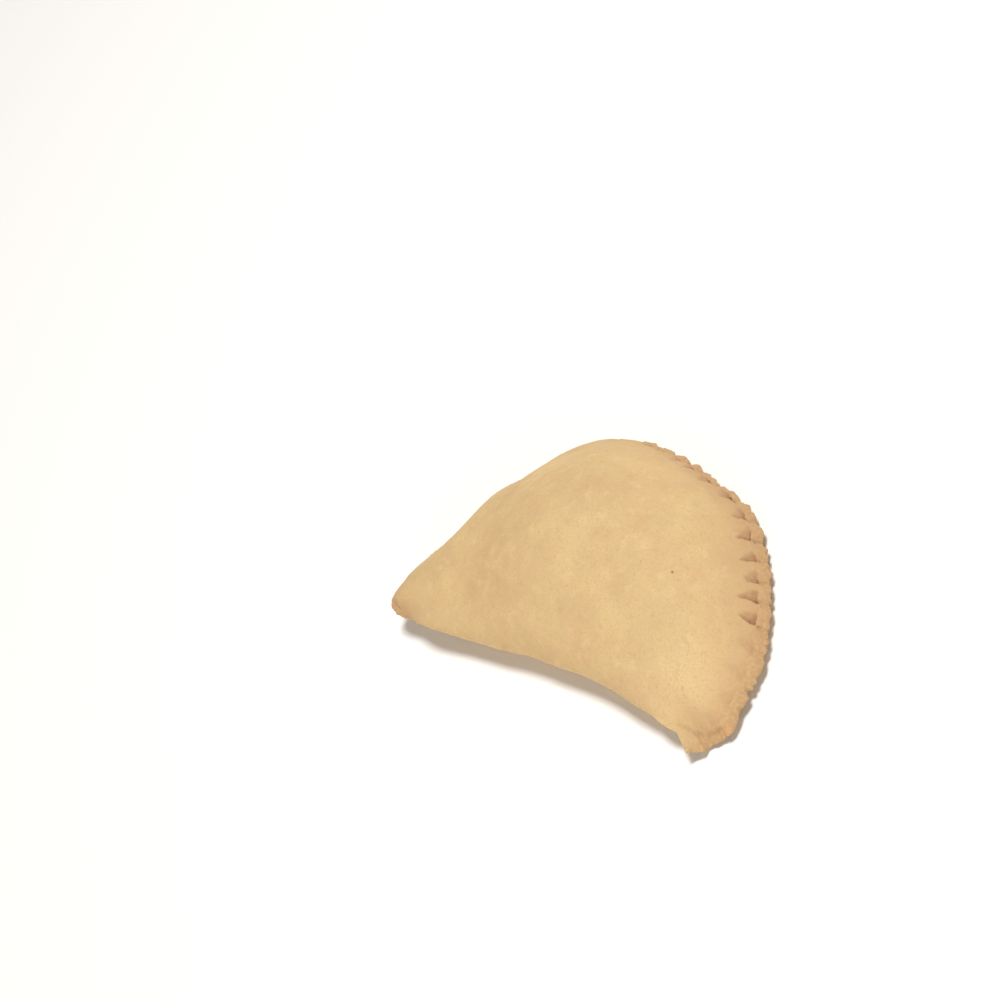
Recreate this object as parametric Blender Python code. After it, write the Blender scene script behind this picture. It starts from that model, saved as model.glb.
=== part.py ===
"""Mini panzerotto: a disc of dough folded over its filling, with a crimped rim.

The pastry lies flat on its smooth side. X runs along the fold from the left tip to
the right tip, Y runs from the fold to the top of the rim's arc, and Z points up.
It is one closed solid. The shape starts as a UV sphere, whose rings become the rings
of the pastry: flat underside, thin outer edge, crimped rim, belly, crown.
"""
import math
import random

import bmesh
import bpy
import numpy as np

MM = 0.001

# Plan of the half moon. Y is first measured from the level where the tips are widest.
HALF_LENGTH = 47.3 * MM
ARC_REACH = 48.2 * MM
ARC_POWER = 1.92           # 2 would be an ellipse, less is more pointed
ARC_LEAN = -10.4 * MM      # the top of the arc stands left of the middle
LEAN_POWER = 4.30          # more leaves the sides of the arc where they are
TIP_DROP = 8.4 * MM        # the tips round off over this depth down to the fold
TIP_POWER = 3.95
FOLD_HOLLOW = 5.1 * MM     # the fold line curves inwards
FOLD_POWER = 1.5
FOLD_HOLLOW_X = 4.6 * MM   # where it curves inwards most
LEFT_DROOP = 1.9 * MM      # the left tip bends this far towards the fold
DROOP_START = 0.54         # share of the half length where that bend starts
DROOP_DEPTH = 10.0 * MM    # it fades out over this distance down to the fold
NUB_REACH = 4.4 * MM       # squared end of the dough beside the right tip
NUB_START_X = 34.5 * MM
NUB_END_X = 46.4 * MM
NUB_RISE = 2.0 * MM        # its left side is this short
NUB_FALL = 4.0 * MM        # its right side starts this far from its left side

# Heights
CROWN_HEIGHT = 21.8 * MM
FOLD_HEIGHT = 5.6 * MM    # of the fold's outermost line, in the middle
TIP_HEIGHT = 4.6 * MM     # of the same line at the tips
FOLD_STEEPNESS = 0.60     # less is a blunter fold
SIDE_STEEPNESS = 0.92     # less is a steeper side above the rim
CURL_LEFT = 4.7 * MM      # how far each tip bends up from the table
CURL_RIGHT = 0.3 * MM
CURL_START = 0.35         # share of the half length
CURL_POWER = 1.7          # more keeps the curl nearer the very tip
FOLD_END_POWER = 2.5      # how late along the fold its height falls off

# Gentle high and low places of the belly: X, Y, radius and height of each
LEFT_BUMP = (-38.3 * MM, 2.5 * MM, 7.6 * MM, 1.1 * MM)
LEFT_VALLEY = (-24.0 * MM, 16.0 * MM, 9.0 * MM, -0.8 * MM)
RIGHT_BUMP = (38.0 * MM, 1.5 * MM, 8.0 * MM, 1.8 * MM)
SHOULDER_DIP = (-20.0 * MM, 35.6 * MM, 8.0 * MM, -1.3 * MM)
TOP_BULGE = (2.0 * MM, 36.0 * MM, 10.0 * MM, 1.2 * MM)
SWELLINGS = (LEFT_BUMP, RIGHT_BUMP, LEFT_VALLEY, SHOULDER_DIP, TOP_BULGE)

# Flat spot that it rests on: four corners with slightly hollow sides between them
FOOT_X = -2.0 * MM
FOOT_Y = 18.0 * MM
FOOT_HALF_X = 15.0 * MM
FOOT_HALF_Y = 12.0 * MM
FOOT_POWER = 0.9          # 1 would be straight sides
FOOT_STEP = 0.15 * MM     # the dough round it is this far off the table
FLAT_FROM = 0.62          # the underside is flat where the belly is this full
UNDER_POWER = 2.5         # how late the underside rounds up towards the fold
UNDER_EDGE_SHARE = 0.8    # height of the fold's lower corner, as a share of the fold's
UNDER_EDGE_INSET = 0.006  # how far in that corner lies, as a share of the column

# Crimped rim
RIM_WIDTH = 5.8 * MM
RIM_SLOPE = math.radians(55.6)
RIM_SLOPE_LEFT = math.radians(37.8)
RIM_SLOPE_RIGHT = math.radians(38.0)
RIM_SLOPE_TIP = math.radians(28.0)  # at the right tip
SLOPE_FROM = 0.45         # the slope grows from this part of the arc's height up
TIP_SLOPE_TO = 0.35       # and has left the right tip's value behind at this part
LEFT_SLOPE_TO = 0.7       # it is the left one from this share of the way to the left tip
RIM_LIFT = 1.5 * MM       # of the rim's underside above the table
EDGE_HEIGHT = 0.9 * MM    # from that underside to the outermost line
LIP_HEIGHT = 2.0 * MM     # from that underside to the top of the edge
LIP_INSET = 0.45 * MM
RIM_OVERRUN = 7.5 * MM    # the crimps go on this far round each tip
RIM_FADE = 11.0 * MM      # and then run out into the fold over this length
CRIMPS = 28
NOTCH_LENGTH = 4.9 * MM
NOTCH_DEPTH = 1.9 * MM
NOTCH_SHARE = 0.31        # half the notch's width at the edge, in crimps
NOTCH_TAPER = 0.7         # how much narrower it is at its inner end
NOTCH_FLOOR = 0.45        # share of its length over which it is at its deepest
FIRST_NOTCH = 0.7         # place of the notch nearest the right tip, in crimps
NOTCH_WANDER = 0.07       # how far a notch strays from its place, in crimps
WORN_TO = 0.25            # strength of a notch beyond the last ones
WORN_STEP = 0.15          # how much stronger each notch is than the one nearer the tip
SCALLOP = 1.0 * MM        # the edge draws in at each notch
RISE_FROM = 0.08          # share of the belly over which it rises softly from the rim
LEVEL_TO = 0.6            # share of the belly over which the rim's height is left behind
SWELL_FROM = 0.35         # share of the belly's height over which swellings come in

# Mesh
COLUMNS_PER_CRIMP = 8
FOLD_COLUMNS = 46
BAND_ROWS = 4
BELLY_ROWS = 10
UNDER_ROWS = 5
LAST_GAP = 0.6            # gap between the last row underneath and the edge, in rows
BELLY_CROWDING = 1.6      # more puts the rows closer together at the rim
FOLD_CROWDING = 2.1       # the same at the fold
RIDGE_SHARE = 0.5         # the mesh columns first run towards a ridge this long
MIDDLE_X = -2.0 * MM      # and end in the middle
MIDDLE_Y = 9.0 * MM
OUTLINE_SAMPLES = 8001
SEED = 7

DOUGH_COLOUR = (0.76, 0.56, 0.29, 1.0)
DOUGH_ROUGHNESS = 0.75


def smooth_step(start, end, value):
    share = np.clip((value - start) / (end - start), 0.0, 1.0)
    return share * share * (3.0 - 2.0 * share)


def fold_line(x):
    """Y of the fold: a shallow inward curve between the tips."""
    span = np.where(x < FOLD_HOLLOW_X, HALF_LENGTH + FOLD_HOLLOW_X, HALF_LENGTH - FOLD_HOLLOW_X)
    away = np.abs(x - FOLD_HOLLOW_X) / span
    return FOLD_HOLLOW * (1.0 - away ** FOLD_POWER) - TIP_DROP


def outline(angle):
    """Outermost line seen from above: 0 is the right tip, pi the left tip, then the fold."""
    cosine = np.cos(angle)
    sine = np.abs(np.sin(angle))
    on_arc = np.sin(angle) >= 0.0
    side = np.sign(cosine) * HALF_LENGTH
    arc_x = side * np.abs(cosine) ** (2.0 / ARC_POWER) + ARC_LEAN * sine ** LEAN_POWER
    arc_y = ARC_REACH * sine ** (2.0 / ARC_POWER)
    fold_x = side * np.abs(cosine) ** (2.0 / TIP_POWER)
    rounding = sine ** (2.0 / TIP_POWER)
    fold_y = fold_line(fold_x) * rounding
    return np.where(on_arc, arc_x, fold_x), np.where(on_arc, arc_y, fold_y)


def nub_reach(x, y):
    """How far the squared end beside the right tip stands out from the fold."""
    nub = smooth_step(NUB_START_X, NUB_START_X + NUB_RISE, x)
    nub = nub * (1.0 - smooth_step(NUB_START_X + NUB_FALL, NUB_END_X, x))
    return NUB_REACH * nub * (y < 0.0)


def left_droop(x, y):
    """How far the left tip's points move towards the fold; the fold itself stays."""
    share = smooth_step(DROOP_START, 1.0, -x / HALF_LENGTH)
    return LEFT_DROOP * share * smooth_step(0.0, DROOP_DEPTH, y - fold_line(x))


def place_columns():
    """Angle of each mesh column, its place along the rim, and how far past the rim it is."""
    angle = np.linspace(-0.5 * math.pi, 1.5 * math.pi, OUTLINE_SAMPLES)
    x, y = outline(angle)
    length = np.concatenate([[0.0], np.cumsum(np.hypot(np.diff(x), np.diff(y)))])
    start = np.interp(0.0, angle, length) - RIM_OVERRUN
    end = np.interp(math.pi, angle, length) + RIM_OVERRUN
    rim = np.linspace(start, end, CRIMPS * COLUMNS_PER_CRIMP, endpoint=False)
    fold = np.linspace(end, start + length[-1], FOLD_COLUMNS, endpoint=False)
    place = np.concatenate([rim, fold])
    past = np.where(place < end, 0.0, np.minimum(place - end, start + length[-1] - place))
    pitch = (end - start) / CRIMPS
    print(f"rim {(end - start) / MM:.1f} mm, a crimp every {pitch / MM:.2f} mm")
    return np.interp(place % length[-1], length, angle), (place - start) / pitch, past


def notch_shape(place, depth_in, on_rim):
    """How far each column is pressed in, 0 to 1, at a distance in from the edge."""
    generator = random.Random(SEED)
    pressed = np.zeros_like(place)
    for crimp in range(CRIMPS):
        centre = crimp + FIRST_NOTCH + generator.uniform(-NOTCH_WANDER, NOTCH_WANDER)
        strength = generator.uniform(0.8, 1.12)
        width = NOTCH_SHARE * generator.uniform(0.85, 1.12)
        reach = NOTCH_LENGTH * generator.uniform(0.85, 1.08)
        near_tip = min(crimp + 1, CRIMPS - crimp)
        strength *= min(1.0, WORN_TO + WORN_STEP * near_tip)
        half_width = width * (1.0 - NOTCH_TAPER * min(1.0, depth_in / reach))
        across = np.clip(1.0 - np.abs(place - centre) / half_width, 0.0, 1.0)
        along = 1.0 - float(smooth_step(NOTCH_FLOOR * reach, reach, depth_in))
        pressed = np.maximum(pressed, strength * along * across)
    return pressed * on_rim


def distances(x, y):
    """How far a point lies in from the fold and in from the rim, each 0 at that edge."""
    inset = RIM_WIDTH * math.cos(RIM_SLOPE)
    up = np.clip(y / (ARC_REACH - inset), 0.0, 1.5)
    lean = ARC_LEAN * np.clip(up, 0.0, 1.0) ** (0.5 * ARC_POWER * LEAN_POWER)
    across = np.abs(x - lean) / (HALF_LENGTH - inset)
    from_rim = np.clip(1.0 - across ** ARC_POWER - up ** ARC_POWER, 0.0, 1.0)
    corner = np.clip(1.0 - across ** TIP_POWER, 0.0, 1.0) ** (1.0 / TIP_POWER)
    from_fold = np.clip((y - fold_line(x) * corner) / ARC_REACH, 0.0, 1.5)
    return from_fold, from_rim


def belly_share(x, y):
    """Height above the belly's foot, as a share: 0 at the fold and the rim, about 1 inside."""
    from_fold, from_rim = distances(x, y)
    return from_fold ** FOLD_STEEPNESS * from_rim ** SIDE_STEEPNESS


def swellings(x, y):
    """Rise and fall of the gentle high and low places."""
    rise = np.zeros_like(x)
    for middle_x, middle_y, radius, height in SWELLINGS:
        distance = np.hypot(x - middle_x, y - middle_y) / radius
        rise += height * np.exp(-distance ** 2)
    return rise


def highest_share():
    across = np.linspace(-0.3, 0.3, 61) * HALF_LENGTH
    up = np.linspace(0.0, 0.9, 181) * ARC_REACH
    return float(belly_share(*np.meshgrid(across, up)).max())


def tip_curl(x):
    """Both ends bend up a little from the table."""
    share = x / HALF_LENGTH
    left = np.clip((-share - CURL_START) / (1.0 - CURL_START), 0.0, 2.0)
    right = np.clip((share - CURL_START) / (1.0 - CURL_START), 0.0, 2.0)
    return CURL_LEFT * left ** CURL_POWER + CURL_RIGHT * right ** CURL_POWER


def foot_ring(edge_x, edge_y):
    """The flat spot's outline, with a vertex exactly in each of its four corners."""
    turn = np.arctan2(edge_y - FOOT_Y, edge_x - FOOT_X)
    for corner in (-math.pi, -0.5 * math.pi, 0.0, 0.5 * math.pi):
        away = np.abs((turn - corner + math.pi) % (2.0 * math.pi) - math.pi)
        turn[np.argmin(away)] = corner
    across = np.abs(np.cos(turn))
    up = np.abs(np.sin(turn))
    shrink = (across ** FOOT_POWER + up ** FOOT_POWER) ** (-1.0 / FOOT_POWER)
    x = FOOT_X + FOOT_HALF_X * shrink * np.cos(turn)
    y = FOOT_Y + FOOT_HALF_Y * shrink * np.sin(turn)
    return x, y


def mesh_rings():
    """Rings of points from the middle of the underside, round the edge, up to the crown."""
    angle, place, past = place_columns()
    edge_x, edge_y = outline(angle)
    rim = 1.0 - smooth_step(0.0, RIM_FADE, past)
    fold = 1.0 - rim
    ridge_x = RIDGE_SHARE * edge_x
    ridge_distance = np.hypot(ridge_x - edge_x, MIDDLE_Y - edge_y)

    fullness = smooth_step(SLOPE_FROM, 1.0, np.sin(angle))
    past_tip = smooth_step(0.0, TIP_SLOPE_TO, np.sin(angle))
    slope = RIM_SLOPE_TIP + (RIM_SLOPE_RIGHT - RIM_SLOPE_TIP) * past_tip
    slope = slope + (RIM_SLOPE - RIM_SLOPE_RIGHT) * fullness
    slope = slope + (RIM_SLOPE_LEFT - slope) * smooth_step(0.0, LEFT_SLOPE_TO, -np.cos(angle))
    along = np.clip(np.abs(edge_x) / HALF_LENGTH, 0.0, 1.0)
    fold_height = TIP_HEIGHT + (FOLD_HEIGHT - TIP_HEIGHT) * (1.0 - along ** FOLD_END_POWER)
    edge = (RIM_LIFT + EDGE_HEIGHT) * rim + fold_height * fold
    lip = (RIM_LIFT + LIP_HEIGHT) * rim + fold_height * fold
    foot = lip + RIM_WIDTH * np.sin(slope) * rim
    band = RIM_WIDTH * np.cos(slope) * rim
    band_share = band / (2.0 * ridge_distance)
    drawn_in = SCALLOP * notch_shape(place, 0.0, rim) - nub_reach(edge_x, edge_y)
    scallop = drawn_in / (2.0 * ridge_distance)

    def plan(share):
        """A column's point: share 0 is the outline, 1 the middle, turning at the ridge."""
        out = (1.0 - share) ** 2
        x = out * edge_x + 2.0 * share * (1.0 - share) * ridge_x + share ** 2 * MIDDLE_X
        y = out * edge_y + (1.0 - out) * MIDDLE_Y
        return x, y

    rings = []

    def add_ring(share, z):
        x, y = plan(share)
        rings.append(np.column_stack([x, y, z + tip_curl(x)]))

    top = highest_share()
    foot_x, foot_y = foot_ring(edge_x, edge_y)
    flat = np.zeros_like(place)
    rings.append(np.column_stack([flat + FOOT_X, flat + FOOT_Y, flat]))
    rings.append(np.column_stack([foot_x, foot_y, flat]))
    for row in range(1, UNDER_ROWS + 1):
        out = row / (UNDER_ROWS + LAST_GAP)
        x = foot_x + (edge_x - foot_x) * out
        y = foot_y + (edge_y - foot_y) * out
        lifted = 1.0 - np.clip(belly_share(x, y) / top / FLAT_FROM, 0.0, 1.0)
        under_fold = fold_height * (1.0 - np.sqrt(1.0 - lifted ** UNDER_POWER))
        from_fold, from_rim = distances(x, y)
        nearer_fold = from_rim / (from_rim + from_fold + 0.001)
        inside = smooth_step(0.0, 0.5, 1.0 - out)
        at_fold = fold * (1.0 - inside) + nearer_fold * inside
        z = RIM_LIFT * lifted ** 2 * (1.0 - at_fold) + under_fold * at_fold
        rings.append(np.column_stack([x, y, np.maximum(z, FOOT_STEP) + tip_curl(x)]))
    inset = LIP_INSET * rim / (2.0 * ridge_distance)
    under_edge = RIM_LIFT * rim + UNDER_EDGE_SHARE * fold_height * fold
    add_ring(inset + scallop + UNDER_EDGE_INSET * fold, under_edge)
    add_ring(scallop, edge)

    last_row = BAND_ROWS + BELLY_ROWS
    for row in range(last_row + 1):
        across_band = min(1.0, row / BAND_ROWS)
        on_belly = max(0.0, (row - BAND_ROWS) / BELLY_ROWS) ** BELLY_CROWDING
        over_fold = ((row + LAST_GAP) / (last_row + LAST_GAP)) ** FOLD_CROWDING
        up_belly = on_belly * rim + over_fold * fold
        share = band_share * across_band + up_belly * (1.0 - band_share)
        share = share + (inset + scallop) * (1.0 - across_band) ** 2
        foot_part = smooth_step(0.0, LEVEL_TO, up_belly)
        base = (lip + (foot - lip) * across_band) * (1.0 - foot_part) + FOLD_HEIGHT * foot_part
        x, y = plan(share)
        settled = 1.0 - rim * (1.0 - smooth_step(0.0, RISE_FROM, up_belly))
        belly = np.where(up_belly > 0.0, belly_share(x, y) / top, 0.0) * settled
        press = NOTCH_DEPTH * notch_shape(place, RIM_WIDTH * across_band, rim) * (up_belly < 0.5)
        rise = swellings(x, y) * smooth_step(0.0, SWELL_FROM, belly)
        add_ring(share, base + (CROWN_HEIGHT - base) * np.clip(belly, 0.0, 1.0) + rise - press)
    for ring in rings:
        ring[:, 1] -= left_droop(ring[:, 0], ring[:, 1])
    return rings


def panzerotto_mesh():
    """A UV sphere whose rings and columns take the places worked out above."""
    rings = mesh_rings()
    columns = len(rings[0])
    segments = len(rings) - 1
    shape = bmesh.new()
    bmesh.ops.create_uvsphere(shape, u_segments=columns, v_segments=segments, radius=1.0)
    for point in shape.verts:
        ring = round((1.0 - math.acos(max(-1.0, min(1.0, point.co.z))) / math.pi) * segments)
        turn = math.atan2(point.co.y, point.co.x) / (2.0 * math.pi)
        column = round(turn * columns) % columns
        point.co = rings[ring][column]
    low = [min(point.co[axis] for point in shape.verts) for axis in range(3)]
    high = [max(point.co[axis] for point in shape.verts) for axis in range(3)]
    centre = ((low[0] + high[0]) / 2.0, (low[1] + high[1]) / 2.0, low[2])
    for point in shape.verts:
        point.co = [point.co[axis] - centre[axis] for axis in range(3)]
    print("size in mm:", [round((high[axis] - low[axis]) / MM, 1) for axis in range(3)])
    mesh = bpy.data.meshes.new("panzerotto")
    shape.to_mesh(mesh)
    shape.free()
    mesh.shade_smooth()
    return mesh


def dough_material():
    material = bpy.data.materials.new("pale dough")
    material.use_nodes = True
    shader = material.node_tree.nodes["Principled BSDF"]
    shader.inputs["Base Color"].default_value = DOUGH_COLOUR
    shader.inputs["Roughness"].default_value = DOUGH_ROUGHNESS
    shader.inputs["Metallic"].default_value = 0.0
    return material


def clear_scene():
    for thing in list(bpy.data.objects):
        bpy.data.objects.remove(thing, do_unlink=True)


def main():
    clear_scene()
    pastry = bpy.data.objects.new("panzerotto", panzerotto_mesh())
    pastry.data.materials.append(dough_material())
    collection = bpy.data.collections.new("mini panzerotto")
    bpy.context.scene.collection.children.link(collection)
    collection.objects.link(pastry)


main()
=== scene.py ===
# %% [markdown]
# # A mini panzerotto
# The real object is a small pastry: a disc of dough folded in half over its filling, so
# that it becomes a half moon with a full belly, a blunt fold and a crimped rim.
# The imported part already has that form, in fairly coarse faces. This lesson builds a much
# finer skin in its place, from the same named sizes, so that the crimps, the crumbly edge
# and the unevenness of dough are real geometry and not only shading.

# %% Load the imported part
import math
import random
from collections import namedtuple

import bpy
import numpy as np
from mathutils import Matrix, Vector, noise


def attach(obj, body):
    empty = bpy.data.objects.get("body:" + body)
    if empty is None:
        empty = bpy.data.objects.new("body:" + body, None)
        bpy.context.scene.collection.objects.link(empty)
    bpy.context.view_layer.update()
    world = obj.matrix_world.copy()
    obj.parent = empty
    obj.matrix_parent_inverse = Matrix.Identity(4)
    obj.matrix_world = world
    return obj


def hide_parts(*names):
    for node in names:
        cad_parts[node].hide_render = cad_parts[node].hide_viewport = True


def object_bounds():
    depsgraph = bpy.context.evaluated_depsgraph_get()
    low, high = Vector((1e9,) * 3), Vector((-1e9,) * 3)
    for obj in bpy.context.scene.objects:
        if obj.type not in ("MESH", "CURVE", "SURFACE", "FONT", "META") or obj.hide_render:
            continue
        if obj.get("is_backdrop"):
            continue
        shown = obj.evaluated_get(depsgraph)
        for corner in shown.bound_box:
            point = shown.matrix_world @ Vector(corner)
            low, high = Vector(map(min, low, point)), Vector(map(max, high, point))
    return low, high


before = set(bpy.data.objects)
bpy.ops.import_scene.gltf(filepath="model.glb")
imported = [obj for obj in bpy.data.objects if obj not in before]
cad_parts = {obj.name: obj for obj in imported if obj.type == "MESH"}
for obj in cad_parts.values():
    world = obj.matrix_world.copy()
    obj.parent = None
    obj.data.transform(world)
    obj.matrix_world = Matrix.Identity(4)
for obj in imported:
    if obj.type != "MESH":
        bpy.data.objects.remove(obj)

MM = 0.001
cad_low, cad_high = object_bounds()
print("part's box in mm:", [round((high - low) / MM, 1) for low, high in zip(cad_low, cad_high)])

# %% [markdown]
# ## Soft changes
# Nothing on dough starts abruptly: the rim fades into the fold, and a dent into the belly.
# A straight ramp would show as a kink at both of its ends. This curve leaves level and
# arrives level, so it blends two forms without a trace.

# %% Helper for soft changes
def smooth_step(start, end, value):
    """0 up to start, 1 from end on, and a soft curve between them."""
    share = np.clip((value - start) / (end - start), 0.0, 1.0)
    return share * share * (3.0 - 2.0 * share)


print("a quarter of the way, the soft step is at", float(smooth_step(0.0, 1.0, 0.25)))

# %% [markdown]
# ## The outline
# Seen from above the half moon has two edges. The arc is the crimped rim. It could be
# drawn as a curve by hand, but a superellipse needs only a few numbers: one power sets how
# full it is, and a lean moves its top sideways. The fold is a shallow inward curve, and
# the tips round off between the two.

# %% Sizes of the outline
HALF_LENGTH = 47.3 * MM
ARC_REACH = 48.2 * MM
ARC_POWER = 1.92
ARC_LEAN = -10.4 * MM
LEAN_POWER = 4.30
TIP_DROP = 8.4 * MM
TIP_POWER = 3.95
FOLD_HOLLOW = 5.1 * MM
FOLD_POWER = 1.5
FOLD_HOLLOW_X = 4.6 * MM
print(f"{2.0 * HALF_LENGTH / MM:.1f} mm from tip to tip, {ARC_REACH / MM:.1f} mm up to the arc")

# %% Outline of the half moon
def fold_line(x):
    """The fold's y at a given x: hollow in the middle, and lower towards both tips."""
    span = np.where(x < FOLD_HOLLOW_X, HALF_LENGTH + FOLD_HOLLOW_X, HALF_LENGTH - FOLD_HOLLOW_X)
    away = np.abs(x - FOLD_HOLLOW_X) / span
    return FOLD_HOLLOW * (1.0 - away ** FOLD_POWER) - TIP_DROP


def outline(angle):
    """The outermost line: 0 is the right tip, pi the left tip, and then comes the fold."""
    cosine = np.cos(angle)
    sine = np.abs(np.sin(angle))
    side = np.sign(cosine) * HALF_LENGTH
    arc_x = side * np.abs(cosine) ** (2.0 / ARC_POWER) + ARC_LEAN * sine ** LEAN_POWER
    arc_y = ARC_REACH * sine ** (2.0 / ARC_POWER)
    fold_x = side * np.abs(cosine) ** (2.0 / TIP_POWER)
    fold_y = fold_line(fold_x) * sine ** (2.0 / TIP_POWER)
    on_arc = np.sin(angle) >= 0.0
    return np.where(on_arc, arc_x, fold_x), np.where(on_arc, arc_y, fold_y)


top_x, top_y = outline(0.5 * math.pi)
print(f"the arc's top lies at x {float(top_x) / MM:.1f}, y {float(top_y) / MM:.1f} mm")

# %% [markdown]
# ## Where the crimps are
# Each crimp is a small dent pressed into the rim with a finger or a fork. Along the side
# that shows no two are alike: most are triangles with one steep wall, one is a thin
# crescent, and those near the right tip are worn almost flat. These are listed one by one.
# The list comes before the net, because the net has to be finer at a dent's steep wall.

# %% List the dents that show
CRIMPS = 28
WALL_SHARE = 0.45
SHOWN_DENTS = (
    # place along the rim in crimps, strength, width in crimps, outer end mm, inner end mm, slant
    (0.73, 0.15, 0.50, 1.6, 4.6, 0.00),
    (1.59, 0.22, 0.55, 1.6, 5.0, 0.05),
    (2.63, 0.25, 0.55, 1.7, 5.4, 0.10),
    (3.75, 0.30, 0.50, 1.5, 5.2, 0.10),
    (4.75, 0.90, 0.58, 1.9, 5.4, 0.22),
    (5.75, 0.85, 0.52, 1.9, 5.8, 0.05),
    (6.58, 0.75, 0.44, 1.7, 4.2, 0.00),
    (7.44, 0.85, 0.30, 1.8, 5.1, -0.06),
    (8.46, 0.90, 0.56, 1.8, 5.2, 0.05),
    (9.42, 1.00, 0.60, 1.8, 4.6, 0.05),
    (10.70, 1.00, 0.70, 1.0, 4.2, 0.10),
    (11.94, 0.90, 0.60, 1.2, 4.4, 0.05),
    (12.98, 0.80, 0.42, 1.5, 4.2, 0.00),
    (13.69, 0.90, 0.45, 1.5, 4.4, 0.00),
    (14.65, 0.60, 0.38, 1.6, 4.2, 0.00),
    (15.34, 0.70, 0.40, 1.6, 4.4, 0.00),
)
Dent = namedtuple("Dent", "wall strength width outer_end inner_end slant")

dents = []
for place, strength, width, outer_mm, inner_mm, slant in SHOWN_DENTS:
    wall = place - WALL_SHARE * width
    dents.append(Dent(wall, strength, width, outer_mm * MM, inner_mm * MM, slant))
print(f"{len(dents)} dents listed, {sum(dent.strength < 0.5 for dent in dents)} of them worn")

# %% [markdown]
# ## Crimps of the far side
# The crimps on the far side differ as much as the listed ones. A draw of random numbers
# with a fixed seed gives each its own place, strength and size, the same in every run.
# Towards the left tip they become weak.

# %% Draw the other dents
SEED = 7
DRAWN_WALL = 0.5
PLACE_WANDER = 0.07
DRAWN_STRENGTHS = (0.75, 1.0)
LAST_STRENGTH = 0.25
STRENGTH_STEP = 0.15
DRAWN_WIDTHS = (0.35, 0.55)
DRAWN_OUTER_ENDS = (1.5, 2.0)
DRAWN_INNER_ENDS = (4.2, 5.6)
DRAWN_SLANTS = (-0.05, 0.15)

generator = random.Random(SEED)
for crimp in range(len(SHOWN_DENTS), CRIMPS):
    wall = crimp + DRAWN_WALL + generator.uniform(-PLACE_WANDER, PLACE_WANDER)
    weakened = min(1.0, LAST_STRENGTH + STRENGTH_STEP * (CRIMPS - crimp))
    strength = generator.uniform(*DRAWN_STRENGTHS) * weakened
    width = generator.uniform(*DRAWN_WIDTHS)
    outer_end = generator.uniform(*DRAWN_OUTER_ENDS) * MM
    inner_end = generator.uniform(*DRAWN_INNER_ENDS) * MM
    slant = generator.uniform(*DRAWN_SLANTS)
    dents.append(Dent(wall, strength, width, outer_end, inner_end, slant))
print(f"{len(dents)} dents in all, the last one {dents[-1].strength:.2f} strong")

# %% [markdown]
# ## Columns round the edge
# The skin will be a net: rings that run round the pastry, and columns that run in from its
# edge to its middle. Equal angles would bunch the columns at the tips, so they are placed
# by length along the edge. They stand closer on the rim than on the fold, and closest at
# the dents' steep walls and at the corner of the squared end, where the form turns sharply.

# %% Walk along the outline
OUTLINE_SAMPLES = 16001
RIM_OVERRUN = 7.5 * MM

sample_angles = np.linspace(-0.5 * math.pi, 1.5 * math.pi, OUTLINE_SAMPLES)
sample_x, sample_y = outline(sample_angles)
steps = np.hypot(np.diff(sample_x), np.diff(sample_y))
walked = np.concatenate([[0.0], np.cumsum(steps)])
rim_start = np.interp(0.0, sample_angles, walked) - RIM_OVERRUN
rim_end = np.interp(math.pi, sample_angles, walked) + RIM_OVERRUN
once_round = rim_start + walked[-1]
crimp_pitch = (rim_end - rim_start) / CRIMPS
print(f"{walked[-1] / MM:.0f} mm round the edge, a crimp every {crimp_pitch / MM:.2f} mm")

# %% Crowd the columns where the form turns
RIM_SPACING = 0.30 * MM
FOLD_SPACING = 0.42 * MM
WALL_CROWDING = 1.6
WALL_ZONE = 0.11
TAB_CORNER_X = 36.0 * MM
TAB_CROWDING = 3.5
TAB_ZONE = 1.2 * MM

line = np.linspace(rim_start, once_round, OUTLINE_SAMPLES)
line_place = (line - rim_start) / crimp_pitch
line_x, line_y = outline(np.interp(line % walked[-1], walked, sample_angles))
crowding = np.where(line < rim_end, 1.0 / RIM_SPACING, 1.0 / FOLD_SPACING)
for dent in dents:
    near_wall = np.exp(-((line_place - dent.wall) / WALL_ZONE) ** 2)
    crowding = crowding * (1.0 + WALL_CROWDING * near_wall)
near_tab = np.exp(-((line_x - TAB_CORNER_X) / TAB_ZONE) ** 2) * (line_y < 0.0)
crowding = crowding * (1.0 + TAB_CROWDING * near_tab)
print(f"up to {crowding.max() * MM:.0f} columns to a millimetre")

# %% Place the columns
RIM_FADE = 11.0 * MM

columns_passed = np.cumsum(0.5 * (crowding[1:] + crowding[:-1]) * np.diff(line))
counted = np.concatenate([[0.0], columns_passed])
column_count = int(counted[-1])
walk = np.interp(np.arange(column_count) * counted[-1] / column_count, counted, line)

angle = np.interp(walk % walked[-1], walked, sample_angles)
edge_x, edge_y = outline(angle)
crimp_place = (walk - rim_start) / crimp_pitch
past_rim = np.where(walk < rim_end, 0.0, np.minimum(walk - rim_end, once_round - walk))
rim = 1.0 - smooth_step(0.0, RIM_FADE, past_rim)
fold = 1.0 - rim
print(f"{column_count} columns, {np.count_nonzero(rim > 0.5)} of them on the rim")

# %% [markdown]
# ## Height of the belly
# The belly rises from the fold and from the rim. Multiplying the distance from one by the
# distance from the other, each to a power under one, gives a full shape that is steep at
# its foot and flat on top. A few broad swellings then make it this pastry and no other.

# %% Distances from the fold and from the rim
RIM_WIDTH = 5.8 * MM
RIM_SLOPE = math.radians(55.6)
MOST_SHARE = 1.5


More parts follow.
